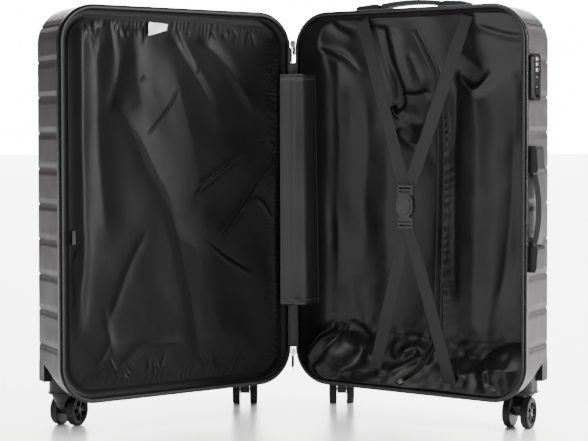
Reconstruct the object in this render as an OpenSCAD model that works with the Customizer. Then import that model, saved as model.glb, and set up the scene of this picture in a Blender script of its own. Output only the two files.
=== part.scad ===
// Hard shell suitcase on four twin-wheel spinner casters, standing open like a book.
//
// Each half is drawn in its own half frame and then placed:
//   x runs from the hinge axis out to the free side wall, y from the parting plane
//   to the back of that half, and z is up from the floor.
// The front half is the mirror image of the back half in the plane of the hinge.

/* [Shell] */
// Width of one half, hinge side to free side
body_w = 465; // [400:5:500]
// Height of the shell without its wheels
body_h = 700; // [640:10:760]
// Depth of one half behind its rim
half_depth = 128; // [115:1:150]
// Thickness of the moulded shell
wall = 2.6; // [2.4:0.1:4]
// Radius of the four corners of the rim
corner_r = 66; // [60:1:75]
// Radius between the walls and the broad face
back_edge_r = 30; // [26:1:34]
// Depth of the grooves between the ribs
groove_depth = 1.6; // [1:0.1:2]
// Width of a groove
groove_w = 4; // [3:0.5:6]
// Distance from one groove to the next
groove_pitch = 63; // [55:1:65]
// Number of grooves
groove_count = 10; // [6:1:10]

/* [Opening] */
// Angle by which each half is turned from the flat open position
open_half = 31; // [0:1:40]
// Distance from the hinge axis to the hinge side walls
side_gap = 4; // [4:0.5:6]

/* [Wheels] */
// Height of the shell's underside above the floor
ground = 58; // [58:1:62]
// Outer diameter of a wheel
wheel_d = 56; // [50:1:56]
// Width of a wheel over its tyre
wheel_w = 14; // [12:1:15]
// Free width between the two wheels of a caster
wheel_gap = 20; // [19:1:22]
// Distance of the axle behind the swivel axis
trail = 17; // [12:1:20]
// Radius of an axle
axle_r = 2.5; // [2:0.1:3]
// Radius of a swivel stem
stem_r = 5; // [4:0.5:6]
// Running clearance of wheels and stems
running = 0.05; // [0.02:0.01:0.1]

/* [Handles] */
// Length of a carry handle over its mounts
handle_len = 220; // [200:5:230]
// Width of a carry handle's mounts
handle_w = 34; // [30:1:38]
// Height of a carry handle's grip above the shell
handle_rise = 22; // [20:1:26]
// Height of the top handle's bow above the shell, which lies flatter
top_handle_rise = 17; // [16:1:22]
// Distance between the centres of the trolley tubes
tube_spacing = 150; // [130:5:170]

/* [Lock] */
// Length of the lock's face plate
lock_len = 82; // [76:1:90]
// Width of the lock's face plate
lock_w = 34; // [30:1:38]

/* [Hidden] */
$fn = 64;
eps = 0.01;

// The hinge axis, placed so that the origin is under the middle of the open case.
hinge_x = 0;
hinge_y = 65.65;

// The rim of the shell, and the walls of one half in its half frame.
rim_y = 7;
trim_y = 5;
tape_y = 0.4;
x_in = side_gap;
x_out = side_gap + body_w;
x_mid = side_gap + body_w / 2;
back_y = trim_y + half_depth;
z_low = ground;
z_high = ground + body_h;
first_groove = z_low + 96.5;
groove_start = rim_y + 12;

// Colours
abs_grey = [0.30, 0.29, 0.30];
moulded_black = [0.05, 0.05, 0.055];
trim_black = [0.09, 0.09, 0.10];
cloth_black = [0.12, 0.12, 0.125];
webbing_grey = [0.17, 0.17, 0.17];
tyre_grey = [0.16, 0.16, 0.17];
nickel = [0.80, 0.78, 0.74];
aluminium = [0.72, 0.73, 0.75];
label_white = [0.93, 0.93, 0.92];

// Thickness of the linings and of the divider panel.
cloth = 0.8;

// Casters: centre in the half frame, and the direction that each one trails at rest.
caster_in = 45;
caster_y = trim_y + 98;
caster_out_x = x_out - caster_in;
caster_in_x = x_in + caster_in;
trail_back_outer = 242;
trail_front_outer = 68;
trail_inner = 90;
wheel_r = wheel_d / 2;
pocket_r = 78;
housing_z = 62;
disc_z = 57.4;

// The flat panel of the free side wall that carries the lock and the side handle.
plate_y = back_y - 73;
plate_low = z_low + 230;
plate_high = z_low + 640;
lock_z = z_low + 571;
lock_y = 31;
lock_rise = 9;
handle_side_y = 32;
handle_side_z = z_low + 341;
handle_top_y = 37;

// Trolley: cup in the top back edge and three stages of oval tube.
cup_x = [x_mid - 106, x_mid + 106];
cup_y = 83;
cup_z = z_high - 46;
tube_y = back_y - 15;
tube_low = z_low + 22;
tube_size = [[22, 14], [19.4, 11.4], [16.8, 8.8]];
tube_wall = 1;

// Straps: anchors on the lining and the buckle where they meet.
strap_w = 25;
strap_t = 1.2;
buckle = [x_mid - 3, 15, z_low + 342];
strap_top = [107, 34, z_high - 16];
strap_foot = [79, 26, z_low + 18];

zip_end = 54;
strip_end = 64;
slider_z = 55;

// ---------------------------------------------------------------- placing

module in_back() {
    translate([hinge_x, hinge_y, 0]) rotate([0, 0, -open_half]) children();
}

module in_front() {
    translate([hinge_x, hinge_y, 0]) mirror([1, 0, 0]) rotate([0, 0, -open_half]) children();
}

module at_hinge() {
    translate([hinge_x, hinge_y, 0]) children();
}

// World place of a point of the half frame; side is 1 for the back half and -1 for the front.
function placed(side, x, y) = [
    hinge_x + side * (x * cos(open_half) + y * sin(open_half)),
    hinge_y - x * sin(open_half) + y * cos(open_half)
];

module at_caster(side, x, heading) {
    p = placed(side, x, caster_y);
    translate([p[0], p[1], 0]) rotate([0, 0, heading]) children();
}

// ---------------------------------------------------------------- shared shapes

// Outline of a half seen from its open side, as x and z, drawn inset from the outside.
module outline(inset) {
    r = corner_r - inset;
    for (x = [x_in + corner_r, x_out - corner_r], z = [z_low + corner_r, z_high - corner_r])
        translate([x, z]) circle(r);
    translate([x_in + corner_r, z_low + inset]) square([body_w - 2 * corner_r, body_h - 2 * inset]);
    translate([x_in + inset, z_low + corner_r]) square([body_w - 2 * inset, body_h - 2 * corner_r]);
}

// A 2D shape in x and z, given depth from y0 to y1.
module deep(y0, y1) {
    translate([0, y1, 0]) rotate([90, 0, 0]) linear_extrude(y1 - y0) children();
}

// Ring that follows the rim between two insets.
module rim_ring(inset_out, inset_in, y0, y1) {
    deep(y0, y1) difference() {
        outline(inset_out);
        outline(inset_in);
    }
}

// Solid block with the outer form of a half, drawn inset, from y0 to the broad face.
module tray_block(inset, y0, broad = back_y) {
    r = corner_r - inset;
    e = back_edge_r - inset;
    y1 = broad - inset;
    cx = [x_in + corner_r, x_out - corner_r];
    cz = [z_low + corner_r, z_high - corner_r];
    module wall_profile() {
        translate([0, y0]) square([r, y1 - e - y0]);
        translate([0, y0]) square([r - e, y1 - y0]);
        translate([r - e, y1 - e]) circle(e);
    }
    module quarter(turn) {
        rotate([-90, 0, 0]) rotate([0, 0, turn]) rotate_extrude(angle = 90) wall_profile();
    }
    translate([cx[1], 0, cz[0]]) quarter(0);
    translate([cx[0], 0, cz[0]]) quarter(90);
    translate([cx[0], 0, cz[1]]) quarter(180);
    translate([cx[1], 0, cz[1]]) quarter(270);
    translate([cx[1], 0, cz[0]]) linear_extrude(cz[1] - cz[0]) wall_profile();
    translate([cx[0], 0, cz[0]]) mirror([1, 0, 0]) linear_extrude(cz[1] - cz[0]) wall_profile();
    translate([cx[1], 0, cz[1]]) rotate([0, -90, 0]) linear_extrude(cx[1] - cx[0]) wall_profile();
    translate([cx[1], 0, cz[0]]) mirror([0, 0, 1]) rotate([0, -90, 0])
        linear_extrude(cx[1] - cx[0]) wall_profile();
    translate([cx[0], y0, cz[0]]) cube([cx[1] - cx[0], y1 - y0, cz[1] - cz[0]]);
}

module wheel_pockets(r) {
    translate([caster_in_x, caster_y, z_low]) rotate([0, 0, 135]) sphere(r);
    translate([caster_out_x, caster_y, z_low]) rotate([0, 0, 45]) sphere(r);
}

// Room that the trolley's cup takes up in the top back edge.
module cup_room(grow) {
    translate([cup_x[0] - grow, cup_y - grow, cup_z - grow])
        cube([cup_x[1] - cup_x[0] + 2 * grow, half_depth, body_h]);
}

// Skin of thickness t that follows the inside of the form, over the wheel pockets
// and, where with_cup is set, over the trolley's cup.
module skin(inset, t, y0, pocket, broad = back_y, with_cup = false) {
    difference() {
        tray_block(inset, y0, broad);
        difference() {
            tray_block(inset + t, y0 - 1, broad);
            wheel_pockets(pocket + t);
            if (with_cup) cup_room(3 + t);
        }
        wheel_pockets(pocket);
        if (with_cup) cup_room(3);
    }
}

module grooves(with_plate) {
    for (k = [0 : groove_count - 1]) {
        z = first_groove + k * groove_pitch;
        difference() {
            translate([x_in - 5, groove_start, z - groove_w / 2]) cube([body_w + 10, half_depth, groove_w]);
            tray_block(groove_depth, rim_y - 1);
            if (with_plate && z > plate_low && z < plate_high)
                translate([x_out - 20, 0, z - groove_w]) cube([40, plate_y, 2 * groove_w]);
        }
    }
}

// Stadium outline of an oval tube, its long side along x.
module stadium(size) {
    r = size[1] / 2;
    translate([-(size[0] / 2 - r), -r]) square([size[0] - 2 * r, size[1]]);
    for (s = [-1, 1]) translate([s * (size[0] / 2 - r), 0]) circle(r);
}

module plate_round(w, h, r) {
    translate([-w / 2 + r, -h / 2]) square([w - 2 * r, h]);
    translate([-w / 2, -h / 2 + r]) square([w, h - 2 * r]);
    for (x = [-1, 1], y = [-1, 1]) translate([x * (w / 2 - r), y * (h / 2 - r)]) circle(r);
}

// Places a shape drawn with its long side along x and standing on z = 0.
module on_top_wall(y) {
    translate([x_mid, y, z_high]) children();
}

module on_side_wall(y, z) {
    translate([x_out, y, z]) rotate([0, 90, 0]) rotate([0, 0, 90]) rotate([0, 0, 90]) children();
}

// ---------------------------------------------------------------- shells

module screw_places() {
    for (x = [caster_in_x - 14, caster_in_x + 14, caster_out_x - 14, caster_out_x + 14])
        translate([x, caster_y, z_low]) children();
}

module base_screw_places() {
    for (x = [x_mid - 50, x_mid + 50]) translate([x, back_y, tube_low + 10]) children();
}

module moulded_shell(with_plate) {
    difference() {
        skin(0, wall, rim_y, pocket_r);
        grooves(with_plate);
        screw_places() cylinder(r = 2.3, h = 100);
    }
}

module back_shell() {
    color(abs_grey) in_back() difference() {
        moulded_shell(true);
        cup_room(0.3);
        translate([x_out - 10, lock_y - 14.2, lock_z - 38.2]) cube([20, 28.4, 76.4]);
        base_screw_places() rotate([90, 0, 0]) translate([0, 0, -2]) cylinder(r = 2.3, h = 12);
    }
}

module front_shell() {
    color(abs_grey) in_front() moulded_shell(false);
}

// U section that grips the edge of the shell.
module edge_trim() {
    color(trim_black) difference() {
        rim_ring(-1, wall + 1.2, trim_y, rim_y + 5);
        rim_ring(0, wall, rim_y, rim_y + 6);
    }
}

// Tape and coil of the main zip, open along the hinge.
module zip_tape() {
    color(cloth_black) difference() {
        union() {
            rim_ring(wall + 1.4, wall + 2.4, tape_y, rim_y + 7);
            rim_ring(wall + 0.6, wall + 3.2, tape_y, tape_y + 2);
        }
        translate([x_in - 5, -5, z_low + zip_end]) cube([corner_r / 2, 40, body_h - 2 * zip_end]);
    }
}

// ---------------------------------------------------------------- linings

module back_lining() {
    color(cloth_black) in_back() difference() {
        skin(wall + 3.4, cloth, rim_y + 3, pocket_r + wall + 6, back_y - 22, true);
        translate([x_out - 30, lock_y - 15, lock_z - 39]) cube([40, 30, 78]);
    }
}

module front_lining() {
    color(cloth_black) in_front() skin(wall + 3.4, cloth, rim_y + 10, pocket_r + wall + 6);
}

module lining_zip() {
    color(moulded_black) in_back() translate([x_mid - 4, back_y - 22 - wall - 3.4 - cloth - 2.1, z_low + 100])
        cube([8, 2, body_h - 190]);
}

module divider_panel() {
    color(cloth_black) in_front() deep(rim_y + 5.5, rim_y + 5.5 + cloth) outline(wall + 2.8);
}

module divider_zip() {
    color(moulded_black) in_front() difference() {
        rim_ring(25, 30, rim_y + 3.3, rim_y + 5.4);
        translate([x_in, 0, z_low + 40]) cube([40, 40, body_h - 80]);
    }
}

// Slider and pull tab of the divider's zip, hanging from its pin.
module divider_zip_puller() {
    color(nickel) in_front() translate([x_out - 27.5, rim_y + 1.2, z_low + 303]) {
        rotate([0, 90, 0]) translate([0, 0, -3.5]) cylinder(r = 1.4, h = 7);
        translate([-3, -0.9, -23]) cube([6, 1.8, 22.2]);
    }
}

module care_label() {
    color(label_white) in_front() translate([x_mid + 25, rim_y + 2.2, z_high - 62]) cube([32, 0.6, 26]);
}

// ---------------------------------------------------------------- straps and buckle

// Band from the buckle to an anchor; dx and dy are the anchor's offsets from the buckle.
module band(start, dx, dy, dz, layer) {
    run = sqrt(dx * dx + dz * dz);
    lean = atan(dx / dz);
    tilt = -atan(dy / abs(dz)) * sign(dz);
    translate([start[0], start[1] + layer, start[2]]) rotate([tilt, 0, 0]) rotate([0, lean, 0])
        translate([-strap_w / 2, -strap_t / 2, dz > 0 ? 0 : -run]) cube([strap_w, strap_t, run]);
}

module packing_straps() {
    color(webbing_grey) in_back() for (side = [-1, 1]) {
        band([buckle[0] + side * 2, buckle[1], buckle[2] + 38], x_mid + side * strap_top[0] - buckle[0] - side * 2,
            strap_top[1] - buckle[1], strap_top[2] - buckle[2] - 38, side * 0.8 + 1);
        band([buckle[0] + side * 2, buckle[1], buckle[2] - 38], x_mid + side * strap_foot[0] - buckle[0] - side * 2,
            strap_foot[1] - buckle[1], strap_foot[2] - buckle[2] + 38, side * 0.8 + 1);
    }
}

// Slotted bar that a strap threads through; its free edge is at z = 20.
module ladder() {
    difference() {
        translate([-15, -2, 0]) cube([30, 4, 20]);
        for (z = [6, 12.5]) translate([-12, -3, z]) cube([24, 6, 3.5]);
    }
}

module oval(w, h, y0, y1) {
    translate([0, y1, 0]) rotate([90, 0, 0]) linear_extrude(y1 - y0) {
        square([w, h - w], center = true);
        for (s = [-1, 1]) translate([0, s * (h - w) / 2]) circle(w / 2);
    }
}

module at_buckle() {
    in_back() translate([buckle[0], buckle[1] - 4, buckle[2]]) children();
}

module buckle_socket() {
    color(moulded_black) at_buckle() difference() {
        union() {
            oval(33, 43, -6, 6);
            translate([0, 0, 17]) ladder();
        }
        oval(23, 33, -7, 0);
        translate([-9, -2.5, -23]) cube([18, 5, 24]);
    }
}

module buckle_tongue() {
    color(moulded_black) at_buckle() {
        translate([-8.8, -2.3, -24]) cube([17.6, 4.6, 23]);
        translate([0, 0, -17.4]) mirror([0, 0, 1]) difference() {
            translate([0, 0, 5]) ladder();
            translate([-20, -5, 0]) cube([40, 10, 5.6]);
        }
    }
}

module buckle_button() {
    color(trim_black) at_buckle() oval(22.4, 32.4, -7.6, -4.2);
}

// ---------------------------------------------------------------- trolley handle

module tube_places() {
    for (s = [-1, 1]) translate([x_mid + s * tube_spacing / 2, tube_y, 0]) children();
}

module tube(index, z0, z1) {
    translate([0, 0, z0]) linear_extrude(z1 - z0) difference() {
        stadium(tube_size[index]);
        stadium([tube_size[index][0] - 2 * tube_wall, tube_size[index][1] - 2 * tube_wall]);
    }
}

module trolley_bezel() {
    color(moulded_black) in_back() difference() {
        intersection() {
            cup_room(0);
            tray_block(-0.8, rim_y);
        }
        translate([cup_x[0] + 4, cup_y + 3, cup_z + 4])
            cube([cup_x[1] - cup_x[0] - 8, back_y - cup_y - 6.5, 100]);
        tube_places() translate([0, 0, cup_z - 5]) linear_extrude(20) stadium(tube_size[0]);
    }
}

module trolley_outer_tubes() {
    color(aluminium) in_back() tube_places() tube(0, tube_low, cup_z + 4);
}

module trolley_base() {
    color(moulded_black) in_back() difference() {
        intersection() {
            translate([x_mid - 95, tube_y - 9.5, tube_low - 8]) cube([190, 21, 26]);
            tray_block(wall + 0.3, rim_y);
        }
        tube_places() translate([0, 0, tube_low]) linear_extrude(40) stadium(tube_size[0]);
        base_screw_places() rotate([90, 0, 0]) cylinder(r = 2.05, h = 22);
    }
}

module trolley_middle_tubes() {
    color(aluminium) in_back() tube_places() tube(1, tube_low + 6, cup_z + 8);
}

module trolley_inner_tubes() {
    color(aluminium) in_back() tube_places() tube(2, tube_low + 12, z_high - 20);
}

// Loop that the hand takes, with a slot in its top for the button.
module trolley_grip() {
    grip_y = [tube_y - 13, back_y - 3.9];
    color(moulded_black) in_back() difference() {
        intersection() {
            union() {
                translate([cup_x[0] + 5, grip_y[0], z_high - 17])
                    cube([cup_x[1] - cup_x[0] - 10, grip_y[1] - grip_y[0], 17]);
                for (x = [cup_x[0] + 5, cup_x[1] - 45])
                    translate([x, grip_y[0], z_high - 36]) cube([40, grip_y[1] - grip_y[0], 22]);
            }
            tray_block(0.6, rim_y);
        }
        tube_places() translate([0, 0, z_high - 60]) linear_extrude(40) stadium(tube_size[2]);
        translate([x_mid - 21, tube_y - 6, z_high - 12]) cube([42, 12, 20]);
        tube_places() translate([0, 0, z_high - 21]) cylinder(r = 2, h = 6);
        translate([x_mid - tube_spacing / 2, tube_y - 2, z_high - 16]) cube([tube_spacing, 4, 5]);
    }
}

// Button with the rods that reach down the inner tubes to their catches.
module trolley_button() {
    color(trim_black) in_back() {
        translate([x_mid - 20.6, tube_y - 5.6, z_high - 7]) cube([41.2, 11.2, 8.2]);
        tube_places() translate([0, 0, tube_low + 20]) cylinder(r = 1.5, h = z_high - 22 - tube_low - 20);
    }
}

// ---------------------------------------------------------------- carry handles

// Two wedge-shaped caps with a slot each for the end of the grip.
// End caps cap high, each with a slot that the bow's tab lifts in.
module handle_caps(cap) {
    color(moulded_black) for (s = [0, 1]) mirror([s, 0, 0]) difference() {
        translate([0, handle_w / 2, 0]) rotate([90, 0, 0]) linear_extrude(handle_w)
            polygon([[64, 0], [64, cap - 1.5], [70, cap], [104, cap - 2.5], [handle_len / 2, cap - 5],
                [handle_len / 2, 0]]);
        translate([60, -14.5, 2.5]) cube([28, 29, cap - 5.2]);
    }
}

// Bowed grip whose outer face is rise high, with a flat tab at each end.
module handle_bow(rise, thick) {
    bow_x = 58;
    tab_z = 3.4;
    arc_rise = rise - thick - tab_z - 1;
    bow_r = (bow_x * bow_x + arc_rise * arc_rise) / (2 * arc_rise);
    half = asin(bow_x / bow_r);
    color(moulded_black) {
        translate([0, 0, rise - thick - bow_r]) rotate([90, 0, 0]) rotate([0, 0, 90 - half])
            rotate_extrude(angle = 2 * half) translate([bow_r, -13]) square([thick, 26]);
        for (s = [0, 1]) mirror([s, 0, 0]) translate([53, -12.5, tab_z]) cube([33, 25, 3]);
    }
}

module top_handle_mounts() {
    in_back() on_top_wall(handle_top_y) handle_caps(12.5);
}

module top_handle_grip() {
    in_back() on_top_wall(handle_top_y) handle_bow(top_handle_rise, 8);
}

module side_handle_mounts() {
    in_back() on_side_wall(handle_side_y, handle_side_z) handle_caps(17);
}

module side_handle_grip() {
    in_back() on_side_wall(handle_side_y, handle_side_z) handle_bow(handle_rise, 10);
}

// ---------------------------------------------------------------- combination lock

dial_r = 12;
dial_t = 6;
dial_pitch = 9.5;
dial_z = 12.5;
dial_axis_x = -1;

module at_lock() {
    in_back() translate([x_out, lock_y, lock_z]) children();
}

module lock_face(w, h, r, x0, x1) {
    translate([x0, 0, 0]) rotate([90, 0, 90]) linear_extrude(x1 - x0) plate_round(w, h, r);
}

module lock_case() {
    color(moulded_black) at_lock() {
        difference() {
            union() {
                lock_face(lock_w, lock_len, 8, 0, lock_rise);
                translate([-14.5, -14, -38]) cube([14.5 + eps, 28, 76]);
            }
            for (k = [0 : 2]) translate([dial_axis_x, 0, dial_z + k * dial_pitch - dial_t / 2 - 0.4])
                cylinder(r = dial_r + 0.8, h = dial_t + 0.8);
            for (z = [0, -17]) translate([lock_rise - 8, -7, z - 3]) cube([12, 14, 6]);
            translate([lock_rise - 3, -7.2, -35]) cube([10, 14.4, 14]);
        }
        translate([dial_axis_x, 0, dial_z - 5]) cylinder(r = 2, h = 2 * dial_pitch + 10);
    }
}

module lock_dial(k) {
    color(nickel) at_lock() translate([dial_axis_x, 0, dial_z + k * dial_pitch - dial_t / 2]) difference() {
        cylinder(r = dial_r, h = dial_t);
        translate([0, 0, -1]) cylinder(r = 2 + running, h = dial_t + 2);
    }
}

module lock_release() {
    color(trim_black) at_lock() translate([lock_rise - 2.7, -6.8, -30.6]) cube([3.9, 13.6, 9.2]);
}

// ---------------------------------------------------------------- casters

// Swivel housing in the half frame; free is 1 where the free side wall is nearest and -1 at the hinge.
module housing(x, free) {
    color(moulded_black) difference() {
        union() {
            intersection() {
                translate([x, caster_y, z_low]) sphere(pocket_r - 0.3);
                union() {
                    translate([x, caster_y, housing_z]) cylinder(r = 27, h = 80);
                    translate([free > 0 ? x - 20 : x - 38, caster_y, housing_z + 22]) cube([58, 26, 60]);
                }
            }
            translate([x, caster_y, housing_z]) cylinder(r = 29, h = 3);
            translate([x + free * 20, back_y - 6, housing_z + 34]) rotate([-90, 0, 0]) cylinder(r = 6, h = 7.5);
        }
        translate([x, caster_y, housing_z - 1]) cylinder(r = stem_r + running, h = 34);
        for (s = [-14, 14]) translate([x + s, caster_y, housing_z + 50]) cylinder(r = 2.05, h = 40);
        translate([x_in - 100, back_y - 1.5, housing_z - 1]) cube([body_w + 200, 60, 31]);
        if (free > 0) translate([x_out - 1.5, 0, housing_z - 1]) cube([60, 300, 120]);
        if (free < 0) translate([x_in - 58.5, 0, housing_z - 1]) cube([60, 300, 120]);
    }
}

module case_screws() {
    color(nickel) screw_places() {
        translate([0, 0, pocket_r - 18]) cylinder(r = 2, h = 21);
        translate([0, 0, pocket_r + 2.7]) cylinder(r = 4.5, h = 2.5);
    }
}

module base_screws() {
    color(nickel) base_screw_places() rotate([90, 0, 0]) {
        translate([0, 0, -1.8]) cylinder(r = 4.5, h = 1.8);
        cylinder(r = 2, h = 20);
    }
}

module back_screws() {
    in_back() {
        case_screws();
        base_screws();
    }
}

// Swivelling body in caster axes: x points the way the axle trails.
module fork() {
    disc_top = housing_z - 0.3;
    color(moulded_black) difference() {
        union() {
            translate([0, 0, disc_z]) cylinder(r = 22, h = disc_top - disc_z);
            translate([0, 0, disc_z]) cylinder(r = stem_r, h = 34);
            translate([0, 8.5, 0]) rotate([90, 0, 0]) linear_extrude(17)
                polygon([[-18, disc_z + 1], [20, disc_z + 1], [28, 40], [25, 24], [trail, 20], [2, 22], [-14, 40]]);
            intersection() {
                translate([0, 0, 24]) cylinder(r1 = 9, r2 = 22, h = disc_z - 23);
                translate([-30, -30, 20]) cube([30 - wheel_r + trail - 2, 60, 40]);
            }
        }
        translate([trail, 0, wheel_r]) rotate([90, 0, 0]) cylinder(r = axle_r, h = 40, center = true);
    }
}

module axle() {
    color(nickel) translate([trail, 0, wheel_r]) rotate([90, 0, 0])
        cylinder(r = axle_r, h = wheel_gap + 2 * wheel_w - 3, center = true);
}

// Spoked hub with an overmoulded tyre; side is 1 or -1 along the axle.
module wheel(side) {
    inner = wheel_gap / 2;
    hub_r = wheel_r - 6;
    translate([trail, 0, wheel_r]) rotate([-90 * side, 0, 0]) translate([0, 0, inner]) {
        color(tyre_grey) rotate_extrude() {
            translate([hub_r, 1.5]) square([6, wheel_w - 3]);
            translate([hub_r, 0]) square([4.5, wheel_w]);
            for (z = [1.5, wheel_w - 1.5]) translate([wheel_r - 1.5, z]) circle(1.5);
        }
        color(moulded_black) difference() {
            union() {
                cylinder(r = hub_r, h = 3);
                difference() {
                    cylinder(r = hub_r, h = wheel_w - 1);
                    translate([0, 0, -1]) cylinder(r = hub_r - 2.5, h = wheel_w + 2);
                }
                cylinder(r = 6, h = wheel_w - 1);
                for (k = [0 : 4], s = [-1, 1]) rotate([0, 0, 72 * k]) translate([4.5, 0, 0])
                    rotate([0, 0, 15 * s]) translate([0, -0.9, 0]) cube([hub_r - 5.8, 1.8, wheel_w - 2]);
            }
            translate([0, 0, -1]) cylinder(r = axle_r + running, h = wheel_w - 0.3);
        }
    }
}

// ---------------------------------------------------------------- hinge and zip sliders

module hinge_strip() {
    color(cloth_black) in_back() translate([0, 0, z_low + strip_end]) linear_extrude(body_h - 2 * strip_end - 28)
        polygon([[3.2, 4.8], [4.2, 4.8], [1.3, 0.4], [0.5, 0.7]]);
}

module hinge_flap() {
    color(trim_black) in_back() translate([x_in + wall + 5.3, 1, z_low + 150]) cube([1.5, 54, 434]);
}

module slider_body() {
    translate([0, 1.5, 0]) rotate([90, 0, 0]) linear_extrude(3) {
        circle(5.5);
        translate([-4, -8.5]) square([8, 8.5]);
    }
}

module main_zip_sliders() {
    color(nickel) at_hinge() {
        translate([0, 0, z_high - slider_z]) slider_body();
        translate([0, 0, z_low + slider_z]) mirror([0, 0, 1]) slider_body();
    }
}

// Pull tab and ring hanging from a pin along x at the origin.
module puller() {
    color(moulded_black) {
        rotate([0, 90, 0]) translate([0, 0, -2.6]) cylinder(r = 1.3, h = 5.2);
        translate([-2.6, -0.9, -21]) cube([5.2, 1.8, 20.2]);
    }
    color(nickel) translate([0, 0, -24]) rotate([0, 90, 0]) rotate_extrude() translate([4, 0]) circle(0.6);
}

module zip_puller_lower() {
    at_hinge() translate([-1, 0, z_low + slider_z - 7.2]) puller();
}

module zip_puller_upper() {
    at_hinge() translate([2.2, 3.1, z_high - slider_z - 1]) puller();
}

// ---------------------------------------------------------------- nodes

back_shell();
in_back() edge_trim();  // back_edge_trim
in_back() zip_tape();  // back_zip_tape
back_lining();
lining_zip();
packing_straps();
buckle_socket();
buckle_tongue();
buckle_button();
trolley_bezel();
trolley_outer_tubes();
trolley_base();
trolley_middle_tubes();
trolley_inner_tubes();
trolley_grip();
trolley_button();
top_handle_mounts();
top_handle_grip();
side_handle_mounts();
side_handle_grip();
lock_case();
lock_dial(0);  // lock_dial_1
lock_dial(1);  // lock_dial_2
lock_dial(2);  // lock_dial_3
lock_release();
in_back() housing(caster_out_x, 1);  // back_outer_housing
in_back() housing(caster_in_x, -1);  // back_inner_housing
back_screws();
front_shell();
in_front() edge_trim();  // front_edge_trim
in_front() zip_tape();  // front_zip_tape
front_lining();
divider_panel();
divider_zip();
divider_zip_puller();
care_label();
in_front() housing(caster_out_x, 1);  // front_outer_housing
in_front() housing(caster_in_x, -1);  // front_inner_housing
in_front() case_screws();  // front_screws
hinge_strip();
hinge_flap();
main_zip_sliders();
zip_puller_upper();
zip_puller_lower();
at_caster(1, caster_out_x, trail_back_outer) fork();  // back_outer_fork
at_caster(1, caster_in_x, trail_inner) fork();  // back_inner_fork
at_caster(-1, caster_out_x, trail_front_outer) fork();  // front_outer_fork
at_caster(-1, caster_in_x, trail_inner) fork();  // front_inner_fork
at_caster(1, caster_out_x, trail_back_outer) axle();  // back_outer_axle
at_caster(1, caster_in_x, trail_inner) axle();  // back_inner_axle
at_caster(-1, caster_out_x, trail_front_outer) axle();  // front_outer_axle
at_caster(-1, caster_in_x, trail_inner) axle();  // front_inner_axle
at_caster(1, caster_out_x, trail_back_outer) wheel(1);  // back_outer_wheel_a
at_caster(1, caster_out_x, trail_back_outer) wheel(-1);  // back_outer_wheel_b
at_caster(1, caster_in_x, trail_inner) wheel(1);  // back_inner_wheel_a
at_caster(1, caster_in_x, trail_inner) wheel(-1);  // back_inner_wheel_b
at_caster(-1, caster_out_x, trail_front_outer) wheel(1);  // front_outer_wheel_a
at_caster(-1, caster_out_x, trail_front_outer) wheel(-1);  // front_outer_wheel_b
at_caster(-1, caster_in_x, trail_inner) wheel(1);  // front_inner_wheel_a
at_caster(-1, caster_in_x, trail_inner) wheel(-1);  // front_inner_wheel_b
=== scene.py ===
"""Looks of a hard shell spinner suitcase that stands open like a book.

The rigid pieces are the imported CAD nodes. The cloth pieces are built here in the half frame:
u runs out from the hinge, d back from the parting plane and z up, all in millimetres.
side is 1 for the back half, which has the trolley, and -1 for the front half.
"""

import math
import random

import bpy
import numpy as np
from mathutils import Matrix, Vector
from mathutils.bvhtree import BVHTree


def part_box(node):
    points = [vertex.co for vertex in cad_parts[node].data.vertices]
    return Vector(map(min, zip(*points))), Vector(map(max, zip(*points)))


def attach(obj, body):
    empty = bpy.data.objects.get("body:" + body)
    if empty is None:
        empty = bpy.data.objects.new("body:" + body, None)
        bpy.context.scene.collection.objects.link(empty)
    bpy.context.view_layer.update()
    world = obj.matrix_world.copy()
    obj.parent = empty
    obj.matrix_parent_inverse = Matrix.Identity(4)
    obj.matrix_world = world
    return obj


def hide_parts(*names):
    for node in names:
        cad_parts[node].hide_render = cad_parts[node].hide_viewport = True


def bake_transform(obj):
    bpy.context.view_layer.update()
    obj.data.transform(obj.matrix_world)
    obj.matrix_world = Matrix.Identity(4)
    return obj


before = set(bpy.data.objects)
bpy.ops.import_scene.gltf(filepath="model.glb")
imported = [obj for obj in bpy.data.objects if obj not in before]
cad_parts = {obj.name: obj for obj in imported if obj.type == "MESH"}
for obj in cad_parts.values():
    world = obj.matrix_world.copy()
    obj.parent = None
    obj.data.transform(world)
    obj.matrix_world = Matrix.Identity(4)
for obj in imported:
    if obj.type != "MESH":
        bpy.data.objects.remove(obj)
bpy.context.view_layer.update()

HINGE_Y = 65.65
OPEN = math.radians(31)
SIDE_GAP, WIDTH, HEIGHT, GROUND = 4.0, 465.0, 700.0, 58.0
CORNER = 66.0
LOW, HIGH = GROUND, GROUND + HEIGHT
INNER, OUTER = SIDE_GAP, SIDE_GAP + WIDTH
MIDDLE = (INNER + OUTER) / 2


def place(side, u, d, z):
    """Points of a half frame in millimetres, as points of the row frame in metres."""
    u, d, z = np.broadcast_arrays(*(np.asarray(v, float) for v in (u, d, z)))
    x = side * (u * math.cos(OPEN) + d * math.sin(OPEN))
    y = HINGE_Y - u * math.sin(OPEN) + d * math.cos(OPEN)
    return np.stack([x, y, z], -1) / 1000


# ---------------------------------------------------------------- camera, light, floor


def make_camera():
    data = bpy.data.cameras.new("camera")
    data.sensor_width = 36
    data.lens = 82.7
    data.shift_y = -0.0935
    data.clip_end = 100
    camera = bpy.data.objects.new("camera", data)
    camera.location = (0.0021, HINGE_Y / 1000 - 2.5742, 0.5341)
    camera.rotation_euler = (math.radians(88.58), math.radians(0.1), 0)
    bpy.context.scene.collection.objects.link(camera)
    bpy.context.scene.camera = camera


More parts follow.
